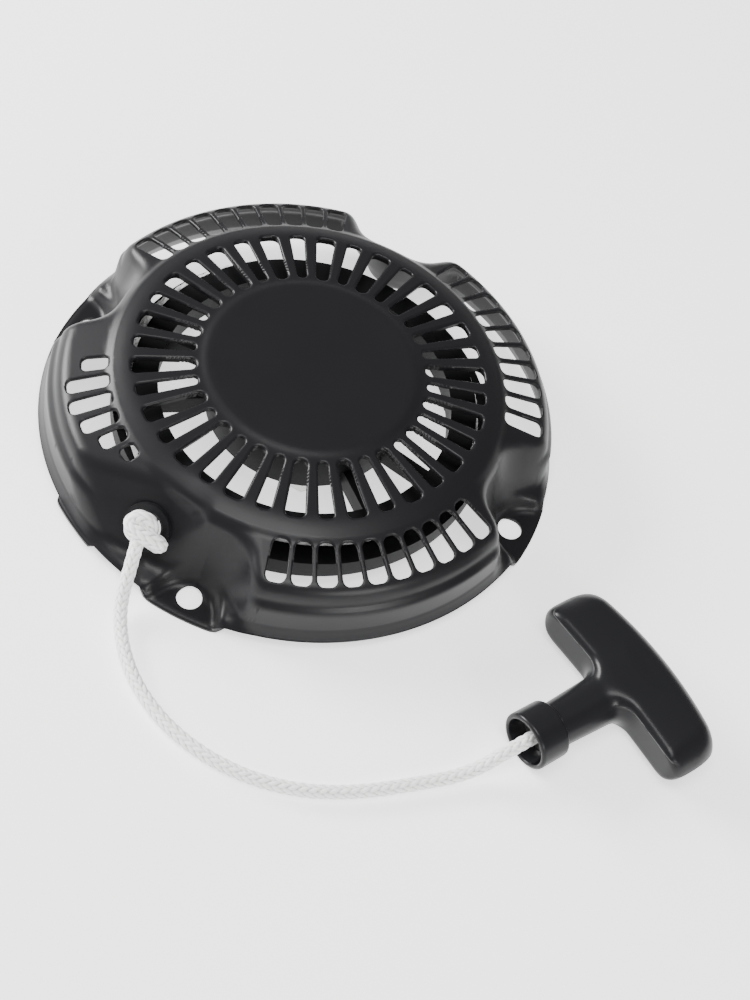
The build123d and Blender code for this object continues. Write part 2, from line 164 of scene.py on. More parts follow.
def nurbs_line(points, resolution=16):
    """Points read from the NURBS spline that has these control points."""
    data = bpy.data.curves.new("route", "CURVE")
    data.dimensions = "3D"
    spline = data.splines.new("NURBS")
    spline.points.add(len(points) - 1)
    for p, co in zip(spline.points, points):
        p.co = (*co, 1)
    spline.order_u = 3
    spline.use_endpoint_u = True
    spline.resolution_u = resolution
    obj = link_object("route", data)
    bpy.context.view_layer.update()
    mesh = bpy.data.meshes.new_from_object(obj)
    line = np.array([v.co[:] for v in mesh.vertices])
    bpy.data.objects.remove(obj)
    bpy.data.curves.remove(data)
    bpy.data.meshes.remove(mesh)
    return line


def resample(line, step):
    """The same line with points an equal distance apart."""
    runs = np.linalg.norm(np.diff(line, axis=0), axis=1)
    along = np.concatenate([[0], np.cumsum(runs)])
    count = max(2, int(round(along[-1] / step)) + 1)
    at = np.linspace(0, along[-1], count)
    return np.stack([np.interp(at, along, line[:, i]) for i in range(3)], 1), along[-1]


def frames_along(line):
    """Tangents and two normals that twist as little as they can."""
    tangent = np.gradient(line, axis=0)
    tangent /= np.linalg.norm(tangent, axis=1)[:, None]
    normal = np.cross(tangent[0], [0, 0, 1.0])
    if np.linalg.norm(normal) < 0.2:
        normal = np.cross(tangent[0], [1.0, 0, 0])
    normals = []
    for t in tangent:
        normal = normal - t * np.dot(normal, t)
        normal /= np.linalg.norm(normal)
        normals.append(normal.copy())
    normals = np.array(normals)
    return tangent, normals, np.cross(tangent, normals)


BRAID_PAIRS = 8          # carriers each way round the rope
BRAID_PITCH = 27 * MM    # length of one carrier's turn
BRAID_DEPTH = 0.55 * MM
BRAID_FLOAT = 0.6        # how much a carrier rises where it passes over another
BRAID_VALLEY = 0.3       # level that counts as the bottom of a valley
BRAID_SPAN = 1.3         # from there to a crown


def braid_height(phi, along):
    """Height of the braid's surface, 0 in its valleys and 1 on its crowns."""
    a = BRAID_PAIRS * (phi + TAU * along / BRAID_PITCH) / 2
    b = BRAID_PAIRS * (phi - TAU * along / BRAID_PITCH) / 2
    ka = np.round(a / math.pi)
    kb = np.round(b / math.pi)
    da = np.abs(a - ka * math.pi) / (math.pi / 2)
    db = np.abs(b - kb * math.pi) / (math.pi / 2)
    float_a = np.cos(math.pi / 2 * (ka + b / math.pi - 0.5))
    float_b = -np.cos(math.pi / 2 * (kb + a / math.pi - 0.5))
    ha = np.sqrt(np.clip(1 - da ** 2, 0, 1)) + BRAID_FLOAT * float_a
    hb = np.sqrt(np.clip(1 - db ** 2, 0, 1)) + BRAID_FLOAT * float_b
    return np.clip((np.maximum(ha, hb) - BRAID_VALLEY) / BRAID_SPAN, 0, 1)


def rope_parts(line, radius, sides=56, step=0.42 * MM):
    """Points, faces and braid heights of a braided rope along a line, closed at both ends."""
    pts, length = resample(line, step)
    tangent, n1, n2 = frames_along(pts)
    s = np.linspace(0, length, len(pts))
    phi = np.linspace(0, TAU, sides, endpoint=False)
    grid_s, grid_phi = np.meshgrid(s, phi, indexing="ij")
    height = braid_height(grid_phi, grid_s)
    r = radius - BRAID_DEPTH + BRAID_DEPTH * height
    sideways = n1[:, None] * (r * np.cos(grid_phi))[..., None]
    co = pts[:, None] + sideways + n2[:, None] * (r * np.sin(grid_phi))[..., None]
    rows = len(pts)
    ends = np.array([pts[0] - tangent[0] * 0.3 * MM, pts[-1] + tangent[-1] * 0.3 * MM])
    verts = np.vstack([co.reshape(-1, 3), ends])
    heights = np.concatenate([height.reshape(-1), [0.5, 0.5]])
    faces = []
    for i in range(rows - 1):
        for j in range(sides):
            k = (j + 1) % sides
            faces.append((i * sides + j, i * sides + k, (i + 1) * sides + k, (i + 1) * sides + j))
    start, last = rows * sides, (rows - 1) * sides
    for j in range(sides):
        k = (j + 1) % sides
        faces.append((k, j, start))
        faces.append((last + j, last + k, start + 1))
    return verts, faces, heights, pts, length


def braided_mesh(name, verts, faces, heights):
    mesh = bpy.data.meshes.new(name)
    mesh.from_pydata(verts.tolist(), [], faces)
    # The braid's height, which the rope material turns into painted shade in the valleys.
    mesh.attributes.new("braid", "FLOAT", "POINT").data.foreach_set("value", heights.astype(np.float32))
    mesh.polygons.foreach_set("use_smooth", [True] * len(mesh.polygons))
    mesh.update()
    return mesh


def rope_piece(name, line, node, radius=ROPE_D / 2):
    """A braided rope that stands in for a CAD node."""
    verts, faces, heights, pts, length = rope_parts(line, radius)
    obj = link_object(name, braided_mesh(name, verts, faces, heights))
    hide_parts(node)
    obj.data.materials.append(rope_mat)
    return obj, pts, length


def rope_material(name, braided):
    """White nylon with fine filaments; its colour is darkened by painted shade, from near white on the
    braid's crowns to grey in its valleys by the braid's height or, on a plain tube, in bands.
    """
    mat, tree, shader = new_material(name, rough=0.62)
    new = tree.nodes.new
    link = tree.links.new
    if braided:
        height = new("ShaderNodeAttribute")
        height.attribute_name = "braid"
    else:
        height = new("ShaderNodeTexWave")
        height.inputs["Scale"].default_value = 170
        height.inputs["Distortion"].default_value = 2
    # Painted shade: the base colour falls from near white to grey where the height is low, standing in for
    # the shade in the braid's valleys, or along the bands on a plain tube.
    painted_valley_shade = new("ShaderNodeValToRGB")
    painted_valley_shade.color_ramp.elements[0].position = 0.05
    painted_valley_shade.color_ramp.elements[0].color = (0.3, 0.3, 0.29, 1)
    painted_valley_shade.color_ramp.elements[1].position = 0.7
    painted_valley_shade.color_ramp.elements[1].color = (0.96, 0.96, 0.945, 1)
    link(height.outputs["Fac"], painted_valley_shade.inputs["Fac"])
    link(painted_valley_shade.outputs["Color"], shader.inputs["Base Color"])
    spots = new("ShaderNodeTexCoord")
    fibres = new("ShaderNodeTexNoise")
    fibres.inputs["Scale"].default_value = 2600
    fibres.inputs["Detail"].default_value = 2
    bump = new("ShaderNodeBump")
    bump.inputs["Strength"].default_value = 0.35
    bump.inputs["Distance"].default_value = 0.0001
    link(spots.outputs["Object"], fibres.inputs["Vector"])
    link(fibres.outputs["Fac"], bump.inputs["Height"])
    link(bump.outputs["Normal"], shader.inputs["Normal"])
    shader.inputs["Sheen Weight"].default_value = 0.25
    return mat


rope_mat = rope_material("rope", True)
strand_mat = rope_material("rope strand", False)
free_line = nurbs_line(ROUTE, 24)
free_rope, free_pts, free_length = rope_piece("free_rope_braid", free_line, "free_rope")
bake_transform(free_rope)
print("free rope", round(float(free_length), 4))

# ---- the rope on the reel, in millimetres -------------------------------------------
COIL_START = math.radians(120)
COIL_IN_R = 58.0
COIL_OUT_R = 65.0
COIL_Z = 17.8
COIL_SETTLE = 1.06             # the last part of the coil runs at its outer radius
COIL_STEPS = 320


def coil_points():
    """The coil's line, from the reel's knot to where the rope leaves for the eyelet."""
    leave = math.atan2(EYE_Y, EYE_X) - math.acos(COIL_OUT_R / math.hypot(EYE_X, EYE_Y))
    span = (leave - COIL_START) % TAU + TAU
    points = []
    for k in range(COIL_STEPS + 1):
        f = k / COIL_STEPS
        r = COIL_IN_R + (COIL_OUT_R - COIL_IN_R) * min(1.0, f * COIL_SETTLE)
        angle = COIL_START + span * f
        points.append((r * math.cos(angle) * MM, r * math.sin(angle) * MM, COIL_Z * MM))
    return np.array(points)


wound_rope, _, _ = rope_piece("wound_rope_braid", coil_points(), "wound_rope")
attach(wound_rope, "reel")

# ---- the knot outside the eyelet ----------------------------------------------
KNOT_CENTRE = np.array(ROUTE[0])
KNOT_ROLL = math.radians(18)
KNOT_CORE = 4.6 * MM
KNOT_ROPE_R = 2.9 * MM         # the rope swells where it turns sharply
# The knot's line on the facet: across it, up it and out from it, in millimetres.
KNOT_WRAPS = [
    (1.0, 1.0, -6.0),
    (0.0, 1.0, -3.4),
    (-2.8, 2.6, -1.4),
    (-3.9, -0.6, 0.0),
    (-2.2, -3.5, 0.6),
    (1.2, -3.7, 0.2),
    (3.7, -1.0, -0.2),
    (2.8, 2.6, 0.8),
    (-0.6, 3.9, 1.8),
    (-3.0, 2.2, 3.2),
    (-1.4, 0.2, 4.2),
    (2.0, -1.8, 4.2),
    (6.2, -3.6, 2.8),
    (7.2, -6.0, -0.4),
    (4.0, -6.6, -2.4),
    (0.4, -4.0, -2.0),
]
facet_out = np.array((0, -1 / FACET_SIZE, FACET_SLOPE / FACET_SIZE))
facet_up = np.array((0, FACET_SLOPE / FACET_SIZE, 1 / FACET_SIZE))
across = math.cos(KNOT_ROLL) * np.array((1.0, 0, 0)) + math.sin(KNOT_ROLL) * facet_up
upward = -math.sin(KNOT_ROLL) * np.array((1.0, 0, 0)) + math.cos(KNOT_ROLL) * facet_up
knot_path = [tuple(KNOT_CENTRE + MM * (a * across + b * upward + c * facet_out)) for a, b, c in KNOT_WRAPS]


def core_parts(centre, radius, first, rings=18, sides=36):
    """A ball that fills a knot's middle."""
    verts = [centre + [0, 0, -radius]]
    for i in range(1, rings):
        a = math.pi * i / rings
        for j in range(sides):
            b = TAU * j / sides
            out = (math.sin(a) * math.cos(b), math.sin(a) * math.sin(b), -math.cos(a))
            verts.append(centre + radius * np.array(out))
    verts.append(centre + [0, 0, radius])
    top = len(verts) - 1
    faces = []
    for j in range(sides):
        k = (j + 1) % sides
        faces.append((0, 1 + k, 1 + j))
        for i in range(rings - 2):
            low, high = 1 + i * sides, 1 + (i + 1) * sides
            faces.append((low + j, low + k, high + k, high + j))
        last = 1 + (rings - 2) * sides
        faces.append((last + j, last + k, top))
    return np.array(verts), [tuple(i + first for i in f) for f in faces]


wrap_verts, wrap_faces, wrap_heights, _, _ = rope_parts(nurbs_line(knot_path, 16), KNOT_ROPE_R)
core_verts, core_faces = core_parts(KNOT_CENTRE, KNOT_CORE, len(wrap_verts))
knot_mesh = braided_mesh("rope_knot", np.vstack([wrap_verts, core_verts]), wrap_faces + core_faces,
                         np.concatenate([wrap_heights, np.full(len(core_verts), 0.5)]))
rope_knot = link_object("rope_knot", knot_mesh)
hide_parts("eyelet_knot")
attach(rope_knot, "case")
rope_knot.data.materials.append(rope_mat)

# ---- the pressed case ----------------------------------------------------------
# The case is worked out in millimetres as the skin of one smooth implicit body,
# read as a height over the plan, and given its sheet thickness afterwards.
SHEET = 1.2
RIM_R = 95.0
BOLT_R = 87.0
BOLT_HOLE_R = 4.5
EAR_ANGLES = (0, 90, 180, 270)
EAR_GROW = 0.8                 # how far the ears pass the lip
TAB_ANGLE = 239.5
TAB_GROW = 1.4
WEDGE_Z = 6.2
VALLEY_UP_Z = 29.0
VALLEY_FAR = 112.0
VALLEY_NEAR = 60.0             # nothing of a valley is further in
VALLEY_LOW = np.array((78.6, 78.5, 3.5, 53.8))
VALLEY_UP = np.array((74.4, 73.4, 12.0, 42.5))
PAD_R = 8.8
PAD_CENTRE = BOLT_R + 1.0
PAD_SIDE = math.radians(25)
PAD_WALL = 2.08                # rise of the dish's side per millimetre out
EYE_HOLE_R = 6.6
CROWN_TURN = 0.4
CROWN_R = 72.0


def turned(x, y, degrees):
    """Places seen from a direction: u outwards along it and v across."""
    c, s = math.cos(math.radians(degrees)), math.sin(math.radians(degrees))
    return x * c + y * s, y * c - x * s


def turned_back(places, degrees):
    """The plan's x, y for a list of u, v."""
    c, s = math.cos(math.radians(degrees)), math.sin(math.radians(degrees))
    return [(u * c - v * s, u * s + v * c) for u, v in places]


def ring_points(radius, count):
    return [(radius * math.cos(TAU * k / count), radius * math.sin(TAU * k / count)) for k in range(count)]


def smooth_min(a, b, k):
    """The smaller of the two, blended where they are closer than k."""
    h = np.maximum(k - np.abs(a - b), 0) / k
    return np.minimum(a, b) - h * h * k / 4


def smooth_max(a, b, k):
    return -smooth_min(-a, -b, k)


def under(r, z, p, q):
    """Negative under the line through p and q in the r, z half plane."""
    dr, dz = q[0] - p[0], q[1] - p[1]
    size = math.hypot(dr, dz)
    return ((z - p[1]) * dr - (r - p[0]) * dz) / size


def crown_body(r, z):
    top = smooth_max(under(r, z, (40.0, 36.9), (65.4, 34.6)), z - 37.0, 0.5)
    side = under(r, z, (67.6, 34.4), (71.2, 31.9))
    return smooth_max(smooth_max(top, side, 3.0), r - CROWN_R, 2.5)


def round_body(r, z):
    """The case before the valleys and the outlet facet are pressed into it."""
    disc = smooth_max(z - 38.0, under(r, z, (38.3, 38.0), (39.5, 36.8)), 1.3)
    lobe_top = np.maximum(under(r, z, (71.6, 31.9), (86.9, 27.4)), z - 32.4)
    lobe = smooth_max(lobe_top, under(r, z, (89.4, 26.0), (90.5, 20.0)), 4.0)
    skirt_top = smooth_max(under(r, z, (90.6, 20.0), (92.6, 18.8)), z - 20.4, 0.8)
    skirt = smooth_max(skirt_top, under(r, z, (92.5, 18.6), (93.0, 9.0)), 1.6)
    flange = smooth_max(under(r, z, (93.2, 8.0), (95.0, 4.5)), z - 8.4, 0.8)
    body = smooth_min(disc, crown_body(r, z), 1.6)
    body = smooth_min(body, lobe, 2.0)
    body = smooth_min(body, skirt, 1.2)
    return smooth_min(body, flange, 1.6)


def pad_distance(u, v):
    """Plan distance outside the floor of the dish round a bolt."""
    du = u - PAD_CENTRE
    v = np.abs(v)
    along = du * math.cos(PAD_SIDE) + v * math.sin(PAD_SIDE)
    arc = np.hypot(du, v)
    line = v * math.cos(PAD_SIDE) - du * math.sin(PAD_SIDE)
    return np.where(along > 0, line, arc) - PAD_R


def valley_space(u, v, z):
    """Negative in the open space over an ear, u outwards and v across."""
    f = (z - WEDGE_Z) / (VALLEY_UP_Z - WEDGE_Z)
    inner, corner_u, corner_v, half = [a + (b - a) * f for a, b in zip(VALLEY_LOW, VALLEY_UP)]
    side = np.arctan2(half - corner_v, VALLEY_FAR - corner_u)
    d_side = (np.abs(v) - corner_v) * np.cos(side) - (u - corner_u) * np.sin(side)
    d_in = inner - np.hypot(u, v)
    wall = smooth_max(d_side, d_in, 7.0) * 0.97
    rise = (z - SHEET) / PAD_WALL
    dish = smooth_max(SHEET - z, (pad_distance(u, v) - rise) * 0.9, 2.2)
    shelf = WEDGE_Z + 0.05 * (RIM_R - u) - z
    return smooth_max(wall, smooth_min(shelf, dish, 1.6), 4.0)


def facet_space(x, y, z):
    """Negative in front of the sloping facet that the rope comes out of."""
    plane = (y - (FACET_Y - (FACET_Z - z) * FACET_SLOPE)) / FACET_SIZE
    ends = smooth_max(x + 5.0, -68.0 - x, 4.0)
    return smooth_max(smooth_max(plane, ends, 8.0), 6.4 - z, 3.0)


def case_body(x, y, z):
    r = np.minimum(np.hypot(x, y), RIM_R)
    body = round_body(r, z)
    for angle in EAR_ANGLES:
        u, v = turned(x, y, angle)
        near = u > VALLEY_NEAR
        if near.any():
            cut = smooth_max(body[near], -valley_space(u[near], v[near], z[near]), 3.4)
            body = body.copy()
            body[near] = cut
    body = smooth_max(body, -facet_space(x, y, z), 3.0)
    return smooth_min(body, crown_body(r, z), 1.5)


def case_height(x, y):
    """Height of the case's top over the plan, by halving."""
    low = np.full(x.shape, -3.0)
    high = np.full(x.shape, 42.0)
    for _ in range(30):
        mid = (low + high) / 2
        above = case_body(x, y, mid) > 0
        high = np.where(above, mid, high)
        low = np.where(above, low, mid)
    return (low + high) / 2


class Slot:
    """A rounded, tapering slot along a radius, with the roll and depth of its lip."""

    def __init__(self, angle, r0, r1, w0, w1, corner, roll, depth):
        self.angle, self.r0, self.r1, self.w0, self.w1 = angle, r0, r1, w0, w1
        self.corner, self.roll, self.depth = corner, roll, depth

    def distance(self, x, y):
        """Plan distance from the slot's edge, negative inside it."""
        u, v = turned(x, y, self.angle)
        v = np.abs(v)
        c = self.corner
        slope = math.atan2((self.w1 - self.w0) / 2, self.r1 - self.r0)
        side = (v - self.w0 / 2) * math.cos(slope) - (u - self.r0) * math.sin(slope) + c
        end = np.abs(u - (self.r0 + self.r1) / 2) - (self.r1 - self.r0) / 2 + c
        return np.hypot(np.maximum(side, 0), np.maximum(end, 0)) + np.minimum(np.maximum(side, end), 0) - c

    def loop(self, grow, step):
        """Points round the slot, grown by a distance."""
        c = self.corner
        inner = [(self.r0 + c, self.w0 / 2 - c), (self.r1 - c, self.w1 / 2 - c)]
        inner = [(inner[0][0], -inner[0][1]), (inner[1][0], -inner[1][1]), inner[1], inner[0]]
        out = []
        radius = c + grow
        starts = (180, 270, 0, 90)
        for (pu, pv), start in zip(inner, starts):
            count = max(3, int(radius * math.pi / 2 / step) + 1)
            for k in range(count + 1):
                a = math.radians(start + 90 * k / count)
                out.append((pu + radius * math.cos(a), pv + radius * math.sin(a)))
        filled = []
        for p, q in zip(out, out[1:] + out[:1]):
            filled.append(p)
            gap = math.hypot(q[0] - p[0], q[1] - p[1])
            for k in range(1, int(gap / (2.2 * step))):
                f = k / int(gap / (2.2 * step))
                filled.append((p[0] + (q[0] - p[0]) * f, p[1] + (q[1] - p[1]) * f))
        return turned_back(filled, self.angle)


class Hole:
    """A round hole, or an ellipse in plan where the sheet slopes."""

    def __init__(self, x, y, rx, ry, roll, depth):
        self.x, self.y, self.rx, self.ry, self.roll, self.depth = x, y, rx, ry, roll, depth

    def distance(self, x, y):
        q = np.hypot((x - self.x) / self.rx, (y - self.y) / self.ry)
        return (q - 1) * self.ry

    def loop(self, grow, step):
        count = max(24, int(TAU * self.rx / step))
        rx, ry = self.rx + grow, self.ry + grow
        spots = [TAU * k / count for k in range(count)]
        return [(self.x + rx * math.cos(a), self.y + ry * math.sin(a)) for a in spots]


def crown_slots():
    """36 slots round the disc, narrow and wide in turn."""
    slots = []
    for k in range(36):
        angle = CROWN_TURN + 10 * k
        if k % 2:
            slots.append(Slot(angle, 41.6, 64.0, 4.4, 6.9, 2.0, 1.1, 3.4))
        else:
            slots.append(Slot(angle, 41.9, 63.7, 3.4, 5.3, 1.6, 0.9, 2.2))
    return slots


def lobe_slots():
    """Ten slots in each of three lobes, and six in the one that the facet cuts short."""
    slots = []
    for centre in (45, 135, 315):
        for k in range(10):
            slots.append(Slot(centre + 6 * (k - 4.5), 71.9, 86.6, 5.9, 7.0, 2.3, 0.7, 1.5))
    for k, reach in enumerate((81.0, 86.4, 86.6, 84.6, 81.0, 77.0)):
        slots.append(Slot(223 + 6.2 * (k - 2.5), 71.9, reach, 5.6, 6.0, 1.9, 0.7, 1.5))
    return slots


def round_holes():
    """The bolt holes, and the eyelet's hole as it looks in plan."""
    holes = []
    for angle in EAR_ANGLES:
        a = math.radians(angle)
        holes.append(Hole(BOLT_R * math.cos(a), BOLT_R * math.sin(a), BOLT_HOLE_R, BOLT_HOLE_R, 0.25, SHEET))
    holes.append(Hole(EYE_X, EYE_Y, EYE_HOLE_R, EYE_HOLE_R * FACET_SLOPE / FACET_SIZE, 0.2, SHEET))
    return holes


openings = crown_slots() + lobe_slots() + round_holes()


def edge_field(x, y):
    """Distance to the nearest opening, and that opening's roll and depth."""
    dist = np.full(x.shape, 99.0)
    roll = np.ones(x.shape)
    depth = np.full(x.shape, SHEET)
    for hole in openings:
        d = hole.distance(x, y)
        near = d < dist
        dist = np.where(near, d, dist)
        roll = np.where(near, hole.roll, roll)
        depth = np.where(near, hole.depth, depth)
    return dist, roll, depth


def lip_drop(dist, roll):
    """How far the sheet has bent down at a distance from an opening."""
    f = np.clip(1 - dist / roll, 0, 1)
    return roll * (1 - np.sqrt(np.clip(1 - (0.985 * f) ** 2, 0, 1)))


def outline_radius(angle):
    """Radius of the case's outer edge at an angle in degrees."""
    grow = np.zeros_like(angle)
    for ear in EAR_ANGLES:
        off = np.abs((angle - ear + 180) % 360 - 180)
        grow += EAR_GROW * np.clip((9.5 - off) / 1.5, 0, 1)
    off = np.abs((angle - TAB_ANGLE + 180) % 360 - 180)
    return RIM_R + grow + TAB_GROW * np.clip((6.9 - off) / 0.6, 0, 1)


# Rings of points where the profile bends: the disc's edge, the crown's shoulder, and the wall
# down to the flange, with the closest ones in the steepest part.
DISC_RINGS = (37.0, 37.6, 38.0, 38.3, 38.6, 38.9, 39.2, 39.5, 39.9, 40.4)
SHOULDER_RINGS = (65.2, 66.0, 66.8, 67.6, 68.4, 69.2, 70.0, 70.7, 71.3, 71.8)
WALL_RINGS = (
    87.4, 87.9, 88.4, 88.8, 89.1, 89.4, 89.6, 89.8, 90.0, 90.2, 90.4, 90.6, 90.9, 91.3, 91.7, 92.0,
    92.2, 92.35, 92.45, 92.55, 92.62, 92.7, 92.78, 92.86, 92.94, 93.02, 93.15, 93.35, 93.6, 93.9,
    94.3, 94.65,
)
WALL_POINTS = 400              # the same on each wall ring, so that the wall has no ribs
STEEP_R = 92.0                 # the wall is steep outside this radius


def valley_rows():
    """Points along a valley's wall at several heights, as u, v."""
    rows = []
    for level in range(-4, 19):
        z = WEDGE_Z + 1.6 * level
        f = (z - WEDGE_Z) / (VALLEY_UP_Z - WEDGE_Z)
        inner, corner_u, corner_v, half = VALLEY_LOW + (VALLEY_UP - VALLEY_LOW) * f
        row = [(math.sqrt(inner ** 2 - v ** 2), v) for v in np.arange(-corner_v, corner_v, 0.9)]
        tangent = (half - corner_v) / (VALLEY_FAR - corner_u)
        for du in np.arange(0, 24, 0.9):
            u, v = corner_u + du, corner_v + du * tangent
            if math.hypot(u, v) < RIM_R - 0.3:
                row += [(u, v), (u, -v)]
        rows.append(row)
    return rows


def pad_rows():
    """Points round the dish of an ear, as u, v."""
    rows = []
    for grow in (-3.4, -2.2, -1.2, -0.5, 0, 0.5, 1.0, 1.5, 2.0, 2.5, 3.0, 3.6, 4.4):
        radius = PAD_R + grow
        row = [(PAD_CENTRE + radius * math.cos(a), radius * math.sin(a))
               for a in np.arange(math.radians(115), math.radians(245.1), 0.8 / radius)]
        for along in np.arange(0.4, 9, 0.8):
            u = PAD_CENTRE - radius * math.sin(PAD_SIDE) + along * math.cos(PAD_SIDE)
            v = radius * math.cos(PAD_SIDE) + along * math.sin(PAD_SIDE)
            if math.hypot(u, v) < RIM_R - 0.2:
                row += [(u, v), (u, -v)]
        rows.append(row)
    return rows


def plan_points():
    """Constraint loops, and free points thinned to the spacing each place needs."""
    loops = []
    angles = np.arange(0, 360, 0.9)
    radius = outline_radius(angles)
    rim = [(r * math.cos(math.radians(a)), r * math.sin(math.radians(a))) for a, r in zip(angles, radius)]
    loops.append(rim)
    wanted = []
    for hole in openings:
        loops.append(hole.loop(0.0, 0.55))
        for f in (0.18, 0.45, 0.8, 1.15):
            wanted.append((0.12, hole.loop(hole.roll * f, 0.6)))
        wanted.append((0.7, hole.loop(hole.roll * 1.15 + 0.9, 1.3)))
    for ring in DISC_RINGS + SHOULDER_RINGS + WALL_RINGS:
        count = WALL_POINTS if ring > CROWN_R else int(TAU * ring / 1.15)
        wanted.append((0.05 if ring > STEEP_R else 0.16, ring_points(ring, count)))
    for angle in EAR_ANGLES:
        for row in valley_rows() + pad_rows():
            wanted.append((0.22, turned_back(row, angle)))
    facet = [(x, y) for x in np.arange(-70, -2, 1.1) for y in np.arange(-90, -64, 0.75)]
    wanted.append((0.65, [(x, y) for x, y in facet if math.hypot(x, y) < STEEP_R]))
    grid = []
    for j in range(-62, 63):
        for i in range(-62, 63):
            x, y = 1.6 * (i + 0.5 * (j % 2)), 1.6 * 0.866 * j * 1.15
            if math.hypot(x, y) < RIM_R - 0.8:
                grid.append((x, y))
    wanted.append((0.95, grid))
    return loops, wanted


def thin_out(loops, wanted):
    """All loop points, then each free point that keeps its distance from those before it."""
    size = 0.5
    cells = {}
    kept = []

    def crowd(x, y, gap):
        reach = int(gap / size) + 1
        ci, cj = int(math.floor(x / size)), int(math.floor(y / size))
        for i in range(ci - reach, ci + reach + 1):
            for j in range(cj - reach, cj + reach + 1):
                for px, py in cells.get((i, j), ()):
                    if (px - x) ** 2 + (py - y) ** 2 < gap * gap:
                        return True
        return False

    def keep(x, y):
        cells.setdefault((int(math.floor(x / size)), int(math.floor(y / size))), []).append((x, y))
        kept.append((x, y))

    edges = []
    for loop in loops:
        first = len(kept)
        for x, y in loop:
            keep(x, y)
        count = len(loop)
        edges += [(first + k, first + (k + 1) % count) for k in range(count)]
    for gap, points in wanted:
        flat = np.array(points)
        d, _, _ = edge_field(flat[:, 0], flat[:, 1])
        inside = np.hypot(flat[:, 0], flat[:, 1]) < RIM_R - 0.15
        free = (d > 0.1) & inside
        for x, y in flat[free]:
            if not crowd(x, y, gap):
                keep(float(x), float(y))
    return kept, edges


EPS = 0.02                     # step for slopes, in millimetres


def plan_triangles():
    """The plan's points, and its triangles that lie on the sheet, all facing up."""
    loops, wanted = plan_points()
    points, edges = thin_out(loops, wanted)
    found, _, faces, _, _, _ = delaunay_2d_cdt([Vector(p) for p in points], edges, [], 0, 1e-5)
    plan = np.array([v[:] for v in found])
    faces = np.array([f for f in faces if len(f) == 3])
    centre = plan[faces].mean(axis=1)
    dist, _, _ = edge_field(centre[:, 0], centre[:, 1])
    angle = np.degrees(np.arctan2(centre[:, 1], centre[:, 0])) % 360
    faces = faces[(dist > 0) & (np.hypot(centre[:, 0], centre[:, 1]) < outline_radius(angle))]
    a, b, c = plan[faces[:, 0]], plan[faces[:, 1]], plan[faces[:, 2]]
    area = (b[:, 0] - a[:, 0]) * (c[:, 1] - a[:, 1]) - (b[:, 1] - a[:, 1]) * (c[:, 0] - a[:, 0])
    faces = np.where((area < 0)[:, None], faces[:, ::-1], faces)
    used = np.unique(faces)
    renumber = np.full(len(plan), -1)
    renumber[used] = np.arange(len(used))
    return plan[used], renumber[faces]


def lipped_height(x, y):
    """Height of the sheet's top with the lips of its openings rolled down."""
    d, roll, _ = edge_field(x, y)
    return case_height(x, y) - lip_drop(np.maximum(d, 0), roll)


def upward_normals(height, x, y):
    dx = (height(x + EPS, y) - height(x - EPS, y)) / (2 * EPS)
    dy = (height(x, y + EPS) - height(x, y - EPS)) / (2 * EPS)
    normals = np.stack([-dx, -dy, np.ones_like(x)], 1)
    return normals / np.linalg.norm(normals, axis=1)[:, None]


def sheet_skins(x, y):
    """Points and normals of the sheet's top, then of its underside, where lips reach deeper."""
    base_normals = upward_normals(case_height, x, y)
    outer = np.stack([x, y, lipped_height(x, y)], 1)
    d, roll, depth = edge_field(x, y)
    out_x = (edge_field(x + EPS, y)[0] - edge_field(x - EPS, y)[0]) / (2 * EPS)
    out_y = (edge_field(x, y + EPS)[0] - edge_field(x, y - EPS)[0]) / (2 * EPS)
    lip = np.clip(1 - np.maximum(d, 0) / (1.3 * roll), 0, 1)
    extra = np.maximum(depth - SHEET, 0)
    is_slot = depth > SHEET + 0.1
    shift = 0.9 * np.minimum(extra, 1) * lip
    drop = extra * lip ** 1.5 + is_slot * roll * 0.3 * lip
    inner = np.stack([x, y, case_height(x, y)], 1) - base_normals * SHEET
    inner = inner + np.stack([out_x * shift, out_y * shift, -drop], 1)
    verts = np.vstack([outer, inner])
    verts[:, 2] = np.maximum(verts[:, 2], 0)
    return verts, np.vstack([upward_normals(lipped_height, x, y), -base_normals])


def open_edges(triangles):
    """Directed edges that only one triangle has."""
    edges = [pair for f in triangles for pair in ((f[0], f[1]), (f[1], f[2]), (f[2], f[0]))]
    known = set(edges)
    return [(p, q) for p, q in edges if (q, p) not in known]


def case_mesh():
    """The sheet: its top, its underside and the walls along every edge."""
    plan, faces = plan_triangles()
    verts, normals = sheet_skins(plan[:, 0], plan[:, 1])
    count = len(plan)
    top = [tuple(int(i) for i in f) for f in faces]
    underside = [(c + count, b + count, a + count) for a, b, c in top]
    border = open_edges(top)
    walls = [(q, p, p + count, q + count) for p, q in border]
    mesh = bpy.data.meshes.new("case_shell")
    mesh.from_pydata((verts * MM).tolist(), [], top + underside + walls)
    print("case shell", len(verts), "points", len(top) * 2 + len(walls) * 2, "triangles")
    mesh.polygons.foreach_set("use_smooth", [True] * len(mesh.polygons))
    mesh.update()
    corner_verts = np.zeros(len(mesh.loops), dtype=int)
    mesh.loops.foreach_get("vertex_index", corner_verts)
    corner_normals = normals[corner_verts]
    start = 3 * (len(top) + len(underside))
    for w, (p, q) in enumerate(border):
        side = np.cross(verts[q] - verts[p], [0, 0, 1.0])
        side /= np.linalg.norm(side) + 1e-12
        corner_normals[start + 4 * w:start + 4 * w + 4] = side
    mesh.normals_split_custom_set(corner_normals.tolist())
    return mesh


case_shell = link_object("case_shell", case_mesh())
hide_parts("housing_case")
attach(case_shell, "case")

# ---- the pull handle -------------------------------------------------------------
# Millimetres, x along the neck from the mouth, y along the bar, z up.
HANDLE_MOUTH = (124.9, -85.6, 10.6)
HANDLE_ANGLE = math.radians(59.4)
HALF_BAR = 38.0
HALF_HEIGHT = 9.9              # keeps the neck's blend off the floor
COLLAR_R = 10.5
HANDLE_LOW = (-1.5, -39.5, -12.0)    # a box round the handle
HANDLE_HIGH = (64.0, 39.5, 12.0)
HANDLE_CELL = 0.62


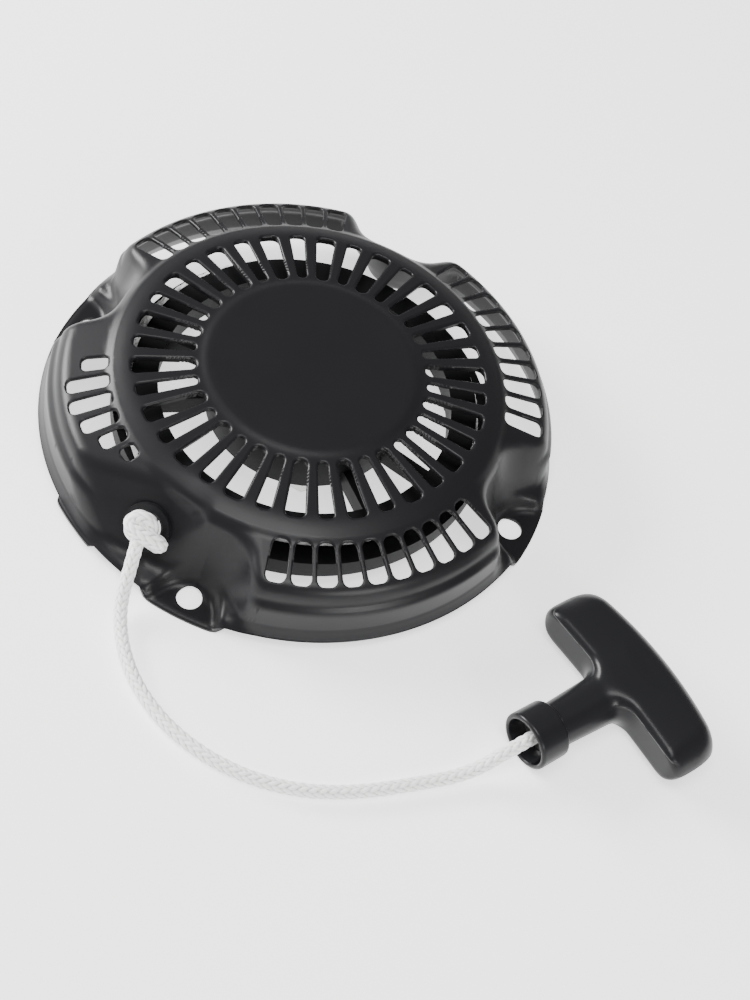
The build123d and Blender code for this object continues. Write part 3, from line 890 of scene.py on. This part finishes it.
def handle_body(x, y, z):
    """Negative inside the moulding."""
    out = np.abs(y) / HALF_BAR
    height = np.abs(z)
    outer = x - (62.0 - 5.4 * out ** 2)
    ledge = 0.9 * np.clip((6.6 - z) / 1.1, 0, 1)
    inner = (37.1 - 1.6 * out ** 2 + ledge) - x
    crown = 9.4 - 0.9 * ((x - 49) / 12) ** 2 - 0.5 * out ** 2
    face = height - crown
    bevel = (height - 8.6 + 0.55 * (np.abs(y) - 30.5)) / math.hypot(1, 0.55)
    end = np.abs(y) - HALF_BAR
    bar = smooth_max(smooth_max(face, bevel, 1.2), outer, 8.5)
    bar = smooth_max(smooth_max(bar, inner, 3.2), end, 6.0)
    r = np.hypot(y, z)
    neck = smooth_max(r - (7.4 + 0.045 * x), x - 46.0, 1.0)
    neck = smooth_max(neck, 2.0 - x, 1.0)
    body = smooth_max(smooth_min(bar, neck, 6.5), height - HALF_HEIGHT, 1.5)
    collar = smooth_max(smooth_max(r - (COLLAR_R - 0.012 * x), -x, 1.3), x - 11.8, 1.3)
    body = smooth_min(body, collar, 0.9)
    socket = smooth_max(r - 8.5, x - 12.0, 0.6)
    bore = smooth_max(r - 6.05, x - 30.0, 0.6)
    return smooth_max(body, -np.minimum(socket, bore), 0.8)


def slope_of(body, verts):
    """Slope of a body's field at each point."""
    x, y, z = verts.T
    dx = body(x + EPS, y, z) - body(x - EPS, y, z)
    dy = body(x, y + EPS, z) - body(x, y - EPS, z)
    dz = body(x, y, z + EPS) - body(x, y, z - EPS)
    return np.stack([dx, dy, dz], 1) / (2 * EPS)


def crossing_spots(value):
    """Each cell's number of crossed edges, and the sum of the spots where they are crossed."""
    shape = tuple(n - 1 for n in value.shape)
    total = np.zeros(shape)
    spot = np.zeros(shape + (3,))
    for axis in range(3):
        others = [a for a in range(3) if a != axis]
        for corner in ((0, 0), (0, 1), (1, 0), (1, 1)):
            first = [slice(0, n) for n in shape]
            for other, shift in zip(others, corner):
                first[other] = slice(shift, shape[other] + shift)
            second = list(first)
            second[axis] = slice(1, shape[axis] + 1)
            v0, v1 = value[tuple(first)], value[tuple(second)]
            crossed = (v0 < 0) != (v1 < 0)
            point = np.zeros(shape + (3,))
            point[..., axis] = np.where(crossed, v0 / np.where(crossed, v0 - v1, 1), 0)
            point[..., others[0]] = corner[0]
            point[..., others[1]] = corner[1]
            spot += point * crossed[..., None]
            total += crossed
    return total, spot


def crossing_faces(inside, number):
    """A quad of the four cells round each grid edge that goes through the surface."""
    faces = []
    for axis in range(3):
        a, b = (axis + 1) % 3, (axis + 2) % 3
        lower = [slice(0, n) for n in inside.shape]
        upper = [slice(0, n) for n in inside.shape]
        lower[axis] = slice(0, inside.shape[axis] - 1)
        upper[axis] = slice(1, inside.shape[axis])
        leaving = inside[tuple(lower)] & ~inside[tuple(upper)]
        entering = ~inside[tuple(lower)] & inside[tuple(upper)]
        for change, order in ((leaving, 1), (entering, -1)):
            for edge in np.argwhere(change):
                ring = []
                for step_a, step_b in ((-1, -1), (0, -1), (0, 0), (-1, 0)):
                    at = edge.copy()
                    at[a] += step_a
                    at[b] += step_b
                    ring.append(int(number[tuple(at)]))
                faces.append(tuple(ring[::order]))
    return faces


def skin_of(body, low, high, step):
    """Points, quads and normals over a body's surface, one point in each cell that it crosses."""
    axes = [np.arange(a, b + step, step) for a, b in zip(low, high)]
    value = body(*np.meshgrid(*axes, indexing="ij"))
    total, spot = crossing_spots(value)
    active = total > 0
    number = np.full(total.shape, -1)
    number[active] = np.arange(active.sum())
    verts = np.array(low) + step * (np.argwhere(active) + spot[active] / total[active][:, None])
    for _ in range(4):
        slope = slope_of(body, verts)
        size = np.maximum((slope ** 2).sum(1), 0.05)
        move = (body(*verts.T) / size)[:, None] * slope
        verts = verts - np.clip(move, -step, step)
    slope = slope_of(body, verts)
    normals = slope / np.linalg.norm(slope, axis=1)[:, None]
    return verts, crossing_faces(value < 0, number), normals


def handle_moulding():
    """The handle's mesh, turned and moved to its place."""
    verts, faces, normals = skin_of(handle_body, HANDLE_LOW, HANDLE_HIGH, HANDLE_CELL)
    c, s = math.cos(HANDLE_ANGLE), math.sin(HANDLE_ANGLE)
    spin = np.array([[c, s, 0], [-s, c, 0], [0, 0, 1]])
    mesh = bpy.data.meshes.new("handle_moulding")
    mesh.from_pydata(((verts @ spin + np.array(HANDLE_MOUTH)) * MM).tolist(), [], faces)
    mesh.polygons.foreach_set("use_smooth", [True] * len(mesh.polygons))
    mesh.update()
    mesh.normals_split_custom_set_from_vertices((normals @ spin).tolist())
    print("handle", len(verts), "points")
    return mesh


handle = link_object("handle_moulding", handle_moulding())
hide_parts("grip")
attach(handle, "handle")


# ---- materials -------------------------------------------------------------------
def surface(name, base, rough, metallic=0.0, grain=900, depth=0.00004, spread=0.06, specular=0.22):
    """A painted, moulded or metal surface with a fine grain in height and in gloss."""
    mat, tree, shader = new_material(name, base, rough, metallic)
    new = tree.nodes.new
    link = tree.links.new
    spots = new("ShaderNodeTexCoord")
    fine = new("ShaderNodeTexNoise")
    fine.inputs["Scale"].default_value = grain
    fine.inputs["Detail"].default_value = 2
    wide = new("ShaderNodeTexNoise")
    wide.inputs["Scale"].default_value = grain / 18
    wide.inputs["Detail"].default_value = 3
    gloss = new("ShaderNodeMapRange")
    gloss.inputs["To Min"].default_value = rough - spread
    gloss.inputs["To Max"].default_value = rough + spread
    bump = new("ShaderNodeBump")
    bump.inputs["Strength"].default_value = 0.5
    bump.inputs["Distance"].default_value = depth
    link(spots.outputs["Object"], fine.inputs["Vector"])
    link(spots.outputs["Object"], wide.inputs["Vector"])
    link(wide.outputs["Fac"], gloss.inputs["Value"])
    link(gloss.outputs["Result"], shader.inputs["Roughness"])
    link(fine.outputs["Fac"], bump.inputs["Height"])
    link(bump.outputs["Normal"], shader.inputs["Normal"])
    shader.inputs["Specular IOR Level"].default_value = specular
    return mat


finishes = {
    "case_paint": surface("case paint", (0.0075, 0.0072, 0.0085), 0.36, grain=700, depth=0.00003),
    "steel_zinc": surface("zinc plated steel", (0.62, 0.62, 0.6), 0.3, 1.0, grain=500),
    "spring_steel": surface("spring steel", (0.3, 0.31, 0.35), 0.28, 1.0, grain=600),
    "black_moulding": surface("black moulding", (0.008, 0.008, 0.009), 0.5, grain=800, specular=0.16),
    "handle_plastic": surface("handle plastic", (0.009, 0.009, 0.0102), 0.3, grain=260, depth=0.00002,
                              specular=0.2),
    "guide_steel": surface("pressed steel", (0.45, 0.44, 0.42), 0.4, 1.0, grain=450),
    "rope_nylon": strand_mat,
}
case_shell.data.materials.append(finishes["case_paint"])
handle.data.materials.append(finishes["handle_plastic"])
# Each node's finish; the nodes that it doesn't name are zinc plated steel.
slot_of = {
    "housing_case": "case_paint", "grip": "handle_plastic", "main_spring": "spring_steel",
    "friction_spring": "spring_steel", "pawl_springs": "spring_steel", "spring_cover": "guide_steel",
    "ratchet_guide": "guide_steel", "reel": "black_moulding", "rope_eyelet": "black_moulding",
    "wound_rope": "rope_nylon", "exit_strand": "rope_nylon", "eyelet_knot": "rope_nylon",
    "free_rope": "rope_nylon", "reel_knot": "rope_nylon", "grip_knot": "rope_nylon",
}
for name, node in nodes.items():
    node.data.materials.clear()
    node.data.materials.append(finishes[slot_of.get(name, "steel_zinc")])
